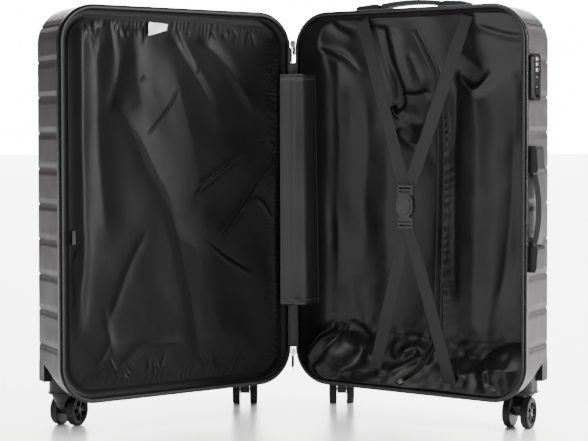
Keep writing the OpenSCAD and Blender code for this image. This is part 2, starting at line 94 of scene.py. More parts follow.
def area_light(name, position, target, size, power, colour=(1, 1, 1)):
    data = bpy.data.lights.new(name, "AREA")
    data.shape = "RECTANGLE"
    data.size, data.size_y = size
    data.energy = power
    data.color = colour
    lamp = bpy.data.objects.new(name, data)
    lamp.location = position
    lamp.rotation_euler = (Vector(target) - Vector(position)).to_track_quat("-Z", "Y").to_euler()
    bpy.context.scene.collection.objects.link(lamp)


def make_lights():
    area_light("right_box", (2.7, -0.5, 1.0), (0.3, 0, 0.4), (0.8, 1.8), 205)
    area_light("left_box", (-2.2, -2.2, 1.5), (-0.1, 0, 0.4), (0.6, 1.6), 21)
    area_light("top_box", (0.3, -0.9, 2.5), (0, 0, 0.3), (1.6, 0.7), 16)
    world = bpy.data.worlds.new("studio")
    bpy.context.scene.world = world
    world.use_nodes = True
    nodes, links = world.node_tree.nodes, world.node_tree.links
    background = nodes["Background"]
    background.inputs["Color"].default_value = (1, 1, 1, 1)
    where = nodes.new("ShaderNodeTexCoord")
    split = nodes.new("ShaderNodeSeparateXYZ")
    links.new(where.outputs["Generated"], split.inputs[0])
    back = nodes.new("ShaderNodeMapRange")
    back.interpolation_type = "SMOOTHSTEP"
    back.inputs["From Min"].default_value = 0.82
    back.inputs["From Max"].default_value = 0.95
    back.inputs["To Min"].default_value = 0.12
    back.inputs["To Max"].default_value = 16
    links.new(split.outputs["Y"], back.inputs["Value"])
    above = nodes.new("ShaderNodeMath")
    above.operation = "MULTIPLY_ADD"
    above.inputs[1].default_value = 0.45
    links.new(split.outputs["Y"], above.inputs[0])
    links.new(split.outputs["Z"], above.inputs[2])
    top = nodes.new("ShaderNodeMapRange")
    top.interpolation_type = "SMOOTHSTEP"
    top.inputs["From Min"].default_value = 0.62
    top.inputs["From Max"].default_value = 1.0
    top.inputs["To Max"].default_value = 4.5
    links.new(above.outputs[0], top.inputs["Value"])
    both = nodes.new("ShaderNodeMath")
    links.new(back.outputs[0], both.inputs[0])
    links.new(top.outputs[0], both.inputs[1])
    links.new(both.outputs[0], background.inputs["Strength"])


def make_floor():
    bpy.ops.mesh.primitive_plane_add(size=60, location=(0, 0, 0))
    floor = bpy.context.object
    floor.name = "floor"
    material, shader, nodes, links = new_material("floor_white")
    shader.inputs["Base Color"].default_value = (0.93, 0.93, 0.93, 1)
    shader.inputs["Roughness"].default_value = 0.27
    shader.inputs["Specular IOR Level"].default_value = 0.35
    grain = noise(nodes, links, 180, 3)
    bump(nodes, links, shader, grain, 0.01, 0.0002)
    floor.data.materials.append(material)


# ---------------------------------------------------------------- materials


def new_material(name):
    material = bpy.data.materials.new(name)
    material.use_nodes = True
    nodes, links = material.node_tree.nodes, material.node_tree.links
    return material, nodes["Principled BSDF"], nodes, links


def coords(nodes, kind="Object"):
    found = [n for n in nodes if n.type == "TEX_COORD"]
    where = found[0] if found else nodes.new("ShaderNodeTexCoord")
    return where.outputs[kind]


def noise(nodes, links, scale, detail=4, kind="Object", stretch=None):
    texture = nodes.new("ShaderNodeTexNoise")
    texture.inputs["Scale"].default_value = scale
    texture.inputs["Detail"].default_value = detail
    if stretch:
        mapping = nodes.new("ShaderNodeMapping")
        mapping.inputs["Scale"].default_value = stretch
        links.new(coords(nodes, kind), mapping.inputs[0])
        links.new(mapping.outputs[0], texture.inputs["Vector"])
    else:
        links.new(coords(nodes, kind), texture.inputs["Vector"])
    return texture.outputs["Fac"]


def bump(nodes, links, shader, height, strength, distance):
    node = nodes.new("ShaderNodeBump")
    node.inputs["Strength"].default_value = strength
    node.inputs["Distance"].default_value = distance
    links.new(height, node.inputs["Height"])
    before = [k.from_socket for k in links if k.to_socket == shader.inputs["Normal"]]
    if before:
        links.new(before[0], node.inputs["Normal"])
    links.new(node.outputs[0], shader.inputs["Normal"])


def spread(nodes, links, value, low, high, target):
    """Sends a texture's value to a shader socket, as the range low to high."""
    node = nodes.new("ShaderNodeMapRange")
    node.inputs["From Min"].default_value = 0.3
    node.inputs["From Max"].default_value = 0.7
    node.inputs["To Min"].default_value = low
    node.inputs["To Max"].default_value = high
    links.new(value, node.inputs["Value"])
    links.new(node.outputs[0], target)


def mottle(nodes, links, shader, colour, amount, value):
    """Base colour that varies by the share amount with a texture's value."""
    mix = nodes.new("ShaderNodeMix")
    mix.data_type = "RGBA"
    links.new(value, mix.inputs["Factor"])
    mix.inputs["A"].default_value = (*(c * (1 - amount) for c in colour), 1)
    mix.inputs["B"].default_value = (*(min(1, c * (1 + amount)) for c in colour), 1)
    links.new(mix.outputs["Result"], shader.inputs["Base Color"])


def hard_plastic(name, colour, rough, grain, depth, amount=0.12, gloss=0.5):
    """Moulded plastic with a spark-eroded grain and slight wear in its gloss."""
    material, shader, nodes, links = new_material(name)
    shader.inputs["Specular IOR Level"].default_value = gloss
    mottle(nodes, links, shader, colour, amount, noise(nodes, links, 9, 5))
    spread(nodes, links, noise(nodes, links, 26, 4), rough - 0.06, rough + 0.07, shader.inputs["Roughness"])
    bump(nodes, links, shader, noise(nodes, links, grain, 3), 0.5, depth)
    bump(nodes, links, shader, noise(nodes, links, 14, 2), 0.25, 0.0006)
    return material


def metal(name, colour, rough, brushed=None):
    material, shader, nodes, links = new_material(name)
    shader.inputs["Metallic"].default_value = 1
    mottle(nodes, links, shader, colour, 0.08, noise(nodes, links, 40, 3))
    spread(nodes, links, noise(nodes, links, 120, 4), rough - 0.05, rough + 0.08, shader.inputs["Roughness"])
    bump(nodes, links, shader, noise(nodes, links, 300, 2, stretch=brushed or (1, 1, 1)), 0.25, 0.00005)
    return material


def threads(nodes, links, pitch, across):
    """Ridges of one set of threads. The cloth's UV map is in metres."""
    wave = nodes.new("ShaderNodeTexWave")
    wave.bands_direction = "X" if across else "Y"
    wave.inputs["Scale"].default_value = 0.314 / pitch
    wave.inputs["Distortion"].default_value = 0.6
    wave.inputs["Detail"].default_value = 1
    links.new(coords(nodes, "UV"), wave.inputs["Vector"])
    return wave.outputs["Fac"]


def cloth(name, colour, rough, pitch, depth, sheen=0.15, crumple=0.0, gloss=0.5):
    """Woven cloth: two sets of threads, slubs and fine creases."""
    material, shader, nodes, links = new_material(name)
    mottle(nodes, links, shader, colour, 0.12, noise(nodes, links, 400, 3, "UV", (1, 0.1, 1)))
    wear = noise(nodes, links, 60, 4, "UV")
    spread(nodes, links, wear, rough - 0.02, rough + 0.03, shader.inputs["Roughness"])
    shader.inputs["Specular IOR Level"].default_value = gloss
    shader.inputs["Sheen Weight"].default_value = sheen
    shader.inputs["Sheen Roughness"].default_value = 0.4
    product = nodes.new("ShaderNodeMath")
    product.operation = "ADD"
    links.new(threads(nodes, links, pitch, True), product.inputs[0])
    links.new(threads(nodes, links, pitch, False), product.inputs[1])
    bump(nodes, links, shader, product.outputs[0], 0.35, depth)
    if crumple:
        bump(nodes, links, shader, noise(nodes, links, 45, 3, "UV", (1.5, 0.7, 1)), 0.4, crumple)
    return material


def webbing(name, colour):
    """Flat strap: thick threads across and a herringbone along."""
    material, shader, nodes, links = new_material(name)
    mottle(nodes, links, shader, colour, 0.25, noise(nodes, links, 90, 4, "UV", (1, 8, 1)))
    shader.inputs["Roughness"].default_value = 0.78
    shader.inputs["Sheen Weight"].default_value = 0.06
    bump(nodes, links, shader, threads(nodes, links, 0.0013, True), 0.7, 0.0003)
    bump(nodes, links, shader, threads(nodes, links, 0.0009, False), 0.5, 0.0002)
    return material


def leathercloth(name, colour):
    """Coated vinyl with a pebbled face."""
    material, shader, nodes, links = new_material(name)
    mottle(nodes, links, shader, colour, 0.12, noise(nodes, links, 14, 4))
    spread(nodes, links, noise(nodes, links, 40, 4), 0.38, 0.5, shader.inputs["Roughness"])
    cells = nodes.new("ShaderNodeTexVoronoi")
    cells.inputs["Scale"].default_value = 700
    links.new(coords(nodes), cells.inputs["Vector"])
    bump(nodes, links, shader, cells.outputs["Distance"], 0.3, 0.00025)
    bump(nodes, links, shader, noise(nodes, links, 12, 3), 0.4, 0.0012)
    return material


def shell_material():
    """Textured ABS whose ribs are pillowed between the grooves."""
    material = hard_plastic("abs_shell", (0.03, 0.0255, 0.0275), 0.4, 900, 0.00012, 0.06)
    nodes, links = material.node_tree.nodes, material.node_tree.links
    shader = nodes["Principled BSDF"]
    shader.inputs["Specular IOR Level"].default_value = 0.3
    split = nodes.new("ShaderNodeSeparateXYZ")
    links.new(coords(nodes), split.inputs[0])
    phase = nodes.new("ShaderNodeMath")
    phase.operation = "MULTIPLY_ADD"
    phase.inputs[1].default_value = 1 / 0.063
    phase.inputs[2].default_value = -(LOW + 96.5) / 63
    links.new(split.outputs["Z"], phase.inputs[0])
    part = nodes.new("ShaderNodeMath")
    part.operation = "FRACT"
    links.new(phase.outputs[0], part.inputs[0])
    fold = nodes.new("ShaderNodeMath")
    fold.operation = "PINGPONG"
    fold.inputs[1].default_value = 0.5
    links.new(part.outputs[0], fold.inputs[0])
    slope = nodes.new("ShaderNodeMapRange")
    slope.interpolation_type = "SMOOTHSTEP"
    slope.inputs["From Min"].default_value = 0.03
    slope.inputs["From Max"].default_value = 0.2
    links.new(fold.outputs[0], slope.inputs["Value"])
    bump(nodes, links, shader, slope.outputs[0], 0.8, 0.0022)
    return material


# ---------------------------------------------------------------- mesh helpers


def piece(name, points, faces, material, uv=None, smooth=True):
    mesh = bpy.data.meshes.new(name)
    mesh.from_pydata([tuple(p) for p in np.asarray(points)], [], [tuple(int(i) for i in f) for f in faces])
    mesh.materials.append(material)
    if uv is not None:
        layer = mesh.uv_layers.new(name="uv")
        index = np.empty(len(mesh.loops), int)
        mesh.loops.foreach_get("vertex_index", index)
        layer.data.foreach_set("uv", np.asarray(uv, float)[index].ravel())
    if smooth:
        mesh.polygons.foreach_set("use_smooth", [True] * len(mesh.polygons))
    mesh.update()
    made = bpy.data.objects.new(name, mesh)
    bpy.context.scene.collection.objects.link(made)
    return made


def grid_faces(rows, columns, closed=False):
    i, j = np.meshgrid(np.arange(rows - 1), np.arange(columns if closed else columns - 1), indexing="ij")
    k = (j + 1) % columns
    a, b = i * columns + j, i * columns + k
    return np.stack([a, b, b + columns, a + columns], -1).reshape(-1, 4)


def sheet_piece(name, points, material, uv, closed=False, flip=False):
    """A cloth surface from an array of rows of points."""
    rows, columns = points.shape[:2]
    faces = grid_faces(rows, columns, closed)
    if flip:
        faces = faces[:, ::-1]
    return piece(name, points.reshape(-1, 3), faces, material, uv.reshape(-1, 2))


def thicken(made, thickness):
    modifier = made.modifiers.new("thickness", "SOLIDIFY")
    modifier.thickness = thickness
    modifier.offset = 0
    return made


def smooth_line(points, count=40):
    """A curve through the points, as count points."""
    p = np.asarray(points, float)
    if len(p) < 3:
        return p[0] + (p[-1] - p[0]) * np.linspace(0, 1, count)[:, None]
    p = np.vstack([2 * p[0] - p[1], p, 2 * p[-1] - p[-2]])
    t = np.linspace(0, len(p) - 3 - 1e-6, count)
    i = t.astype(int)
    f = (t - i)[:, None]
    a, b, c, d = p[i], p[i + 1], p[i + 2], p[i + 3]
    return 0.5 * (2 * b + (c - a) * f + (2 * a - 5 * b + 4 * c - d) * f**2 + (3 * b - a - 3 * c + d) * f**3)


def fold(u, z, points, height, left, right, ends=(40, 40), steps=40):
    """A raised fold along a line in the (u, z) plane. left is its width on the line's left side."""
    line = smooth_line(points, steps)
    length = np.concatenate([[0], np.cumsum(np.hypot(*np.diff(line, axis=0).T))])
    best = np.full(u.shape, 1e9)
    side = np.ones(u.shape)
    along = np.zeros(u.shape)
    for k in range(len(line) - 1):
        a, b = line[k], line[k + 1]
        t = b - a
        n = max(1e-9, t @ t)
        f = np.clip(((u - a[0]) * t[0] + (z - a[1]) * t[1]) / n, 0, 1)
        dx, dz = u - a[0] - f * t[0], z - a[1] - f * t[1]
        gap = dx * dx + dz * dz
        near = gap < best
        best = np.where(near, gap, best)
        side = np.where(near, np.sign(t[0] * dz - t[1] * dx), side)
        along = np.where(near, length[k] + f * math.sqrt(n), along)
    gap = np.sqrt(best)
    width = np.where(side > 0, left, right)
    start = np.clip(along / max(1, ends[0]), 0, 1)
    stop = np.clip((length[-1] - along) / max(1, ends[1]), 0, 1)
    fade = (start * start * (3 - 2 * start)) * (stop * stop * (3 - 2 * stop))
    return height * fade * np.exp(-((gap / width) ** 1.7))


def ripples(u, z, wavelength, seed, stretch=1.0, count=14):
    """Soft irregular waves of about unit height."""
    rng = random.Random(seed)
    total = np.zeros(u.shape)
    for _ in range(count):
        angle = rng.uniform(0, math.pi)
        size = wavelength * rng.uniform(0.6, 1.6)
        x = (u * math.cos(angle) * stretch + z * math.sin(angle)) * 2 * math.pi / size
        across = (u * math.sin(angle) - z * math.cos(angle)) * 2 * math.pi / (size * 2.7)
        bend = 1.2 * np.sin(across + rng.uniform(0, 6))
        total += np.sin(x + bend + rng.uniform(0, 6.3))
    return total / math.sqrt(count)


def outline(inset, count, corner=CORNER, low=LOW, high=HIGH, inner=INNER, outer=OUTER):
    """Points (u, z), outward normals and running length of a half's outline, drawn inset."""
    r = corner - inset
    cu, cz = (inner + corner, outer - corner), (low + corner, high - corner)
    turns = [(cu[1], cz[0], -90), (cu[1], cz[1], 0), (cu[0], cz[1], 90), (cu[0], cz[0], 180)]
    points, normals = [], []
    for x, y, start in turns:
        for a in np.radians(np.linspace(start, start + 90, 17)):
            points.append((x + r * math.cos(a), y + r * math.sin(a)))
            normals.append((math.cos(a), math.sin(a)))
    points, normals = np.array(points), np.array(normals)
    loop = np.vstack([points, points[:1]])
    length = np.concatenate([[0], np.cumsum(np.hypot(*np.diff(loop, axis=0).T))])
    ring = np.vstack([normals, normals[:1]])
    s = np.linspace(0, length[-1], count, endpoint=False)
    at = np.stack([np.interp(s, length, loop[:, k]) for k in (0, 1)], -1)
    n = np.stack([np.interp(s, length, ring[:, k]) for k in (0, 1)], -1)
    return at, n / np.linalg.norm(n, axis=1)[:, None], s, length[-1]


def row_boxes(centres, x_axis, y_axis, z_axis, size):
    """Small boxes, one at each centre, as points and faces."""
    corners = np.array([(x, y, z) for x in (-1, 1) for y in (-1, 1) for z in (-1, 1)]) / 2 * np.asarray(size)
    points = (
        centres[:, None]
        + corners[None, :, 0:1] * x_axis[:, None]
        + corners[None, :, 1:2] * y_axis[:, None]
        + corners[None, :, 2:3] * z_axis[:, None]
    )
    quads = np.array([(0, 1, 3, 2), (4, 6, 7, 5), (0, 4, 5, 1), (2, 3, 7, 6), (0, 2, 6, 4), (1, 5, 7, 3)])
    faces = (quads[None] + 8 * np.arange(len(centres))[:, None, None]).reshape(-1, 4)
    return points.reshape(-1, 3), faces


def half_axes(side):
    """The half frame's u and d directions in the row frame."""
    u = np.array([side * math.cos(OPEN), -math.sin(OPEN), 0])
    d = np.array([side * math.sin(OPEN), math.cos(OPEN), 0])
    return u, d


# ---------------------------------------------------------------- divider panel of the front half


def panel_grid(u0, u1, z0, z1, r, rows, columns):
    """A grid over a rounded rectangle, and each point's distance from its edge."""
    z = np.linspace(z0, z1, rows)[:, None]
    near = np.minimum(z - z0, z1 - z)
    inset = np.where(near < r, r - np.sqrt(np.maximum(0, r * r - (r - near) ** 2)), 0)
    f = np.linspace(0, 1, columns)[None]
    u = u0 + inset + (u1 - u0 - 2 * inset) * f
    z = np.broadcast_to(z, u.shape)
    du = np.minimum(u - u0, u1 - u)
    dz = np.minimum(z - z0, z1 - z)
    du_c, dz_c = np.maximum(0, r - du), np.maximum(0, r - dz)
    corner = r - np.hypot(du_c, dz_c)
    edge = np.where((du < r) & (dz < r), corner, np.minimum(du, dz))
    return u, z, np.maximum(0, edge)


def gathers(u, z, edge):
    """Small puckers where the divider's cloth is sewn to its zip, and short creases near them."""
    rng = random.Random(41)
    top = np.clip((z - 655) / 60, 0, 1)
    right = np.clip((105 - u) / 60, 0, 1)
    low = np.clip((150 - z) / 60, 0, 1)
    wave = np.sin(u / 1.5 + 1.9 * np.sin(u / 7.3) + z * 0.12) * top
    wave = wave + np.sin(z / 1.6 + 2.1 * np.sin(z / 8.1) - u * 0.2) * right * (1 - top)
    wave = wave + np.sin(u / 1.9 + 1.7 * np.sin(u / 9.0) + z * 0.2) * low * (1 - right)
    h = 0.5 * wave * np.exp(-edge / 11) * (0.35 + 0.65 * np.sin(u / 23 + z / 19) ** 2)
    for k in range(64):
        if k < 26:
            a, b, turn, reach = rng.uniform(28, 40), rng.uniform(430, 725), rng.uniform(-50, 5), 34
        elif k < 46:
            a, b, turn, reach = rng.uniform(60, 430), rng.uniform(718, 730), rng.uniform(-120, -70), 30
        else:
            a, b, turn, reach = rng.uniform(60, 420), rng.uniform(92, 104), rng.uniform(40, 110), 34
        length = reach * rng.uniform(0.5, 1.5)
        c, e = a + length * math.cos(math.radians(turn)), b + length * math.sin(math.radians(turn))
        near = (abs(u - (a + c) / 2) < length) & (abs(z - (b + e) / 2) < length)
        size = rng.uniform(0.5, 1.2) * rng.choice((1, 1, -1))
        h[near] += fold(u[near], z[near], [(a, b), (c, e)], size, rng.uniform(1.2, 2.2),
                        rng.uniform(1.6, 3.5), (6, length * 0.7), 4)
    return h


def make_divider(satin, edging):
    u, z, edge = panel_grid(24, 449, 84, 735, 42, 500, 330)
    h = fold(u, z, [(356, 650), (354, 584), (341, 553), (318, 510), (301, 467), (273, 423), (251, 376),
                    (229, 300), (216, 234), (205, 160), (190, 104)], 8.5, 8, 38, (140, 60), 70)
    h += fold(u, z, [(326, 735), (322, 660), (314, 600), (296, 540)], 5.5, 20, 26, (30, 80))
    h += fold(u, z, [(219, 380), (206, 292), (184, 230), (157, 180), (128, 110)], 4.5, 20, 30, (90, 60))
    h += fold(u, z, [(427, 736), (427, 609), (426, 497), (425, 385), (424, 331), (430, 248), (436, 150)],
              7.5, 11, 14, (30, 90))
    h -= fold(u, z, [(392, 725), (390, 560), (384, 440), (372, 330)], 6.5, 20, 22, (40, 90))
    h -= fold(u, z, [(345, 700), (352, 640), (372, 560)], 3.5, 10, 12)
    h += fold(u, z, [(372, 738), (366, 690), (360, 650)], 3.5, 7, 8, (10, 40))
    h += fold(u, z, [(402, 738), (398, 700), (394, 660)], 3.0, 6, 7, (10, 40))
    h += fold(u, z, [(258, 722), (221, 661), (172, 585), (150, 520)], 4.5, 13, 18, (40, 80))
    h -= fold(u, z, [(236, 718), (196, 655), (160, 600), (140, 560)], 3.0, 10, 12, (30, 60))
    h += fold(u, z, [(200, 710), (145, 663), (91, 596), (76, 560)], 4.0, 9, 15, (30, 70))
    h -= fold(u, z, [(246, 690), (226, 600), (200, 500), (186, 420), (184, 345)], 7.0, 26, 34, (70, 60))
    h += fold(u, z, [(212, 419), (166, 453), (102, 500)], 1.8, 2.6, 6, (25, 50))
    h -= fold(u, z, [(206, 409), (150, 455), (94, 495)], 1.1, 3, 4, (25, 40))
    h += fold(u, z, [(160, 335), (109, 392), (71, 445), (32, 487)], 2.5, 3, 7, (25, 20))
    h -= fold(u, z, [(150, 332), (104, 384), (64, 436)], 1.2, 4, 5, (25, 30))
    h += fold(u, z, [(111, 381), (71, 406), (36, 363)], 2.2, 3, 4, (20, 20))
    h += fold(u, z, [(193, 338), (140, 298), (75, 258)], 1.9, 3, 5, (30, 40))
    h -= fold(u, z, [(196, 348), (138, 305), (80, 270)], 1.2, 4, 4, (30, 40))
    h += fold(u, z, [(304, 524), (260, 571), (227, 626)], 1.6, 2.2, 3, (20, 30))
    h += fold(u, z, [(200, 640), (188, 662)], 1.4, 2, 3, (8, 8))
    h += fold(u, z, [(312, 622), (301, 640)], 1.3, 2, 3, (8, 8))
    h += fold(u, z, [(296, 363), (337, 290), (383, 174)], 2.6, 7, 9, (50, 60))
    h += fold(u, z, [(386, 233), (376, 180), (365, 130)], 2.0, 6, 8, (30, 30))
    h += fold(u, z, [(426, 96), (353, 116), (303, 150), (210, 151)], 3.0, 7, 11, (40, 60))
    h += fold(u, z, [(404, 112), (384, 140), (368, 175)], 2.2, 5, 7, (20, 30))
    h += fold(u, z, [(436, 330), (442, 290), (438, 250), (443, 210)], 3.0, 4, 6, (20, 20))
    h += fold(u, z, [(300, 330), (282, 260), (262, 180)], 3.0, 30, 34, (80, 50))
    h += fold(u, z, [(23, 150), (30, 240), (34, 344), (30, 470)], 3.0, 5, 7, (30, 40))
    h += ripples(u, z, 170, 3, 1.5) * 0.9
    h += ripples(u, z, 46, 5, 1.3) * 0.1
    h += gathers(u, z, edge)
    rise = 1 - np.exp(-((edge / 9) ** 1.3))
    d = 12.0 - np.clip(h, -11, 8.5) * rise - gathers(u, z, edge) * 0.5
    made = sheet_piece("divider_sheet", place(-1, u, d, z), satin, np.stack([u, z], -1) / 1000)
    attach(made, "front_half")
    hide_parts("divider_panel", "divider_zip")
    border = make_border(edging)
    return made, border


def ring_strip(name, side, profile, count, material, body):
    """A strip that follows the outline. profile is a list of (inset, d) points across it."""
    rows = []
    uvs = []
    across = 0.0
    before = None
    for inset, d in profile:
        at, _, s, _ = outline(inset, count)
        rows.append(place(side, at[:, 0], d, at[:, 1]))
        if before is not None:
            across += math.hypot(inset - before[0], d - before[1])
        before = (inset, d)
        uvs.append(np.stack([s, np.full(count, across)], -1) / 1000)
    made = sheet_piece(name, np.array(rows), material, np.array(uvs), closed=True, flip=side > 0)
    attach(made, body)
    return made


def make_border(edging):
    """Flange between the rim and the divider: gusset, ribbed tape and piping."""
    profile = [(6.0, 10.5), (7.5, 13.5), (10, 15), (14, 15.6), (18, 15.2), (20, 14.4), (24, 14.0),
               (30, 14.2)]
    made = ring_strip("divider_border", -1, profile, 700, edging, "front_half")
    return made


# ---------------------------------------------------------------- back lining


def soft_min(a, b, k):
    h = np.clip(0.5 + 0.5 * (b - a) / k, 0, 1)
    return b * (1 - h) + a * h - k * h * (1 - h)


def make_back_lining(satin):
    """Loose satin lining of the back half, gathered in its lower corners."""
    count, steps = 620, 110
    lead = [(8, 8), (8.5, 16), (9.5, 30), (11, 45), (13, 60), (17, 74), (23, 86), (32, 94), (44, 99),
            (58, 101.5)]
    lead = smooth_line(lead, 44)
    _, normal, s, _ = outline(0, count)
    rows_u, rows_z, rows_d, down = [], [], [], [0.0]
    for k, (inset, d) in enumerate(lead):
        at, _, _, _ = outline(min(inset, CORNER - 3), count)
        bulge = np.clip((normal[:, 0] - 0.8) / 0.2, 0, 1) * np.clip((50 - abs(at[:, 1] - 629)) / 12, 0, 1)
        at[:, 0] -= 8 * bulge * math.exp(-(((d - 32) / 20) ** 4)) * (inset < 20)
        hinge_lean = np.clip(-normal[:, 0], 0, 1) ** 2 * np.clip((inset - 8) / 50, 0, 1) * 6
        rows_u.append(at[:, 0] + hinge_lean)
        rows_z.append(at[:, 1])
        rows_d.append(np.full(count, d))
        if k:
            down.append(down[-1] + math.hypot(*(lead[k] - lead[k - 1])))
    last_u, last_z = rows_u[-1], rows_z[-1]
    mid_z = np.clip(last_z, LOW + WIDTH / 2, HIGH - WIDTH / 2)
    for t in np.linspace(0, 1, steps)[1:]:
        rows_u.append(last_u + (MIDDLE - last_u) * t)
        rows_z.append(last_z + (mid_z - last_z) * t)
        rows_d.append(np.full(count, 101.5 + 1.0 * t))
        down.append(down[-1] + 175 / steps)
    u, z, d = np.array(rows_u), np.array(rows_z), np.array(rows_d)
    wall = d.copy()
    slope = 13 + (z - 70) * 1.16 + 5 * np.sin(u / 38)
    bumps = 200.0
    for cu in (INNER + 45, OUTER - 45):
        reach = 92**2 - (u - cu) ** 2 - (z - LOW) ** 2
        bumps = np.minimum(bumps, np.where(reach > 0, 103 - np.sqrt(np.maximum(reach, 0)), 200))
    d = soft_min(d, slope, 12)
    d = soft_min(d, bumps - 3, 8)
    d = soft_min(d, 38 + (752 - z) * 0.56 + 4 * np.sin(u / 31), 18)
    inside = np.clip((wall - 20) / 60, 0, 1)
    h = fold(u, z, [(52, 705), (51, 600), (51, 483), (50, 261), (52, 150)], 8, 15, 20, (60, 30))
    h += fold(u, z, [(309, 665), (334, 570), (340, 429), (334, 304), (326, 140)], 9, 20, 30, (90, 50))
    h += fold(u, z, [(150, 560), (150, 420), (152, 300), (160, 180)], 4, 22, 26, (90, 60))
    h -= fold(u, z, [(290, 640), (288, 500), (286, 360), (290, 200)], 6, 12, 14, (60, 60))
    h -= fold(u, z, [(403, 500), (386, 302), (362, 222), (346, 128)], 2.5, 15, 22, (80, 40))
    h += fold(u, z, [(412, 560), (404, 400), (392, 280), (374, 200)], 5, 16, 16, (90, 60))
    h -= fold(u, z, [(100, 640), (104, 500), (96, 350), (92, 220)], 4, 20, 22, (80, 80))
    h -= fold(u, z, [(166, 735), (164, 700), (164, 658), (178, 600), (166, 571)], 13, 7, 9, (10, 20))
    h += fold(u, z, [(184, 728), (182, 680), (186, 640), (196, 606)], 8, 9, 12, (20, 30))
    h += fold(u, z, [(160, 585), (172, 565), (187, 580)], 7, 4, 5, (8, 8))
    h += fold(u, z, [(171, 612), (205, 603), (248, 610)], 6, 6, 10, (20, 20))
    h += fold(u, z, [(171, 542), (186, 524), (206, 512), (238, 516)], 7, 7, 12, (15, 20))
    h -= fold(u, z, [(176, 560), (210, 548), (240, 556)], 4, 12, 12, (20, 20))
    h += fold(u, z, [(205, 690), (214, 650), (222, 620)], 4, 10, 14, (20, 20))
    h += fold(u, z, [(8, 706), (33, 695), (71, 679), (100, 640)], 5, 6, 14, (10, 40))
    h -= fold(u, z, [(10, 694), (40, 684), (70, 664)], 4, 9, 7, (10, 30))
    h -= fold(u, z, [(54, 748), (72, 727), (112, 713)], 5, 8, 10, (10, 30))
    h += fold(u, z, [(66, 752), (84, 735), (120, 726)], 3, 7, 9, (10, 30))
    h += fold(u, z, [(299, 650), (314, 623), (339, 613), (378, 652)], 8, 7, 10, (25, 40))
    h -= fold(u, z, [(300, 690), (330, 660), (352, 660)], 5, 14, 14, (20, 20))
    h += fold(u, z, [(350, 726), (408, 707), (446, 703)], 5, 5, 8, (20, 20))
    h += fold(u, z, [(396, 640), (430, 620), (452, 560)], 4, 10, 14, (30, 30))
    h += fold(u, z, [(62, 164), (38, 127), (12, 80)], 11, 5, 10, (10, 10))
    h -= fold(u, z, [(70, 150), (46, 112), (24, 78)], 7, 6, 6, (10, 10))
    h += fold(u, z, [(61, 156), (93, 136), (129, 114), (160, 100)], 9, 6, 12, (10, 30))
    h -= fold(u, z, [(66, 166), (98, 148), (132, 128)], 5, 8, 6, (10, 30))
    h += fold(u, z, [(8, 116), (64, 148)], 6, 4, 9, (10, 10))
    h += fold(u, z, [(190, 116), (216, 130), (240, 128), (264, 112)], 9, 7, 11, (20, 20))
    h += fold(u, z, [(150, 98), (192, 90), (233, 113), (267, 108)], 8, 5, 8, (20, 15))
    h -= fold(u, z, [(170, 112), (205, 104), (236, 122)], 6, 6, 6, (20, 15))
    h += fold(u, z, [(82, 74), (116, 86), (150, 88)], 5, 5, 6, (15, 20))
    h += fold(u, z, [(276, 94), (304, 108), (344, 84)], 7, 5, 9, (15, 15))
    h += fold(u, z, [(380, 116), (386, 84), (412, 66)], 9, 5, 9, (15, 10))
    h += fold(u, z, [(296, 103), (336, 96), (390, 108), (444, 112)], 6, 5, 10, (20, 20))
    h -= fold(u, z, [(300, 122), (350, 118), (430, 128)], 5, 8, 8, (20, 20))
    h += fold(u, z, [(256, 640), (263, 542), (262, 399), (257, 192), (249, 127)], 2.5, 8, 8, (40, 20))
    h -= fold(u, z, [(270, 600), (275, 500), (273, 380), (268, 220)], 2.5, 6, 8, (40, 20))
    pleat = np.sin(z / 2.8 + 1.8 * np.sin(z / 17) - u / 9) * np.exp(-np.abs(u - 268) / 12)
    h += 0.45 * pleat * (z < 560) * (z > 150)
    h += ripples(u, z, 190, 11, 1.9) * 1.9
    h += ripples(u, z, 70, 12, 1.5) * 0.25
    low = np.clip((190 - z) / 60, 0, 1)
    h += ripples(u, z, 34, 13, 1.2) * 1.4 * low
    keep = np.clip(inside, 0.12, 1) * (1 - np.exp(-np.maximum(0, wall - 8) / 12))
    d = np.clip(d - h * keep, 7.5, 108)
    around = np.broadcast_to(s, u.shape)
    uv = np.stack([around, np.broadcast_to(np.array(down)[:, None], u.shape)], -1) / 1000
    made = sheet_piece("back_lining_sheet", place(1, u, d, z), satin, uv, closed=True, flip=True)
    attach(made, "back_half")
    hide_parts("back_lining")
    return made


# ---------------------------------------------------------------- zips


def make_teeth(name, side, body, material):
    """Coil teeth of the main zip, on the tape's edge all round but the hinge."""
    at, normal, s, perimeter = outline(5.4, 1000)
    steps = np.arange(0, perimeter, 2.3)
    u = np.interp(steps, np.append(s, perimeter), np.append(at[:, 0], at[0, 0]))
    z = np.interp(steps, np.append(s, perimeter), np.append(at[:, 1], at[0, 1]))
    nu = np.interp(steps, s, normal[:, 0])
    nz = np.interp(steps, s, normal[:, 1])
    keep = ~((u < INNER + 30) & (z > LOW + 57) & (z < HIGH - 57))
    u, z, nu, nz = u[keep], z[keep], nu[keep], nz[keep]
    au, ad = half_axes(side)
    out = nu[:, None] * au + nz[:, None] * np.array([0, 0, 1])
    along = -nz[:, None] * au + nu[:, None] * np.array([0, 0, 1])
    deep = np.broadcast_to(ad, out.shape)
    points, faces = row_boxes(place(side, u, 1.6, z), along, out, deep, (0.0013, 0.0036, 0.0022))
    made = piece(name, points, faces, material, smooth=False)
    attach(made, body)
    return made


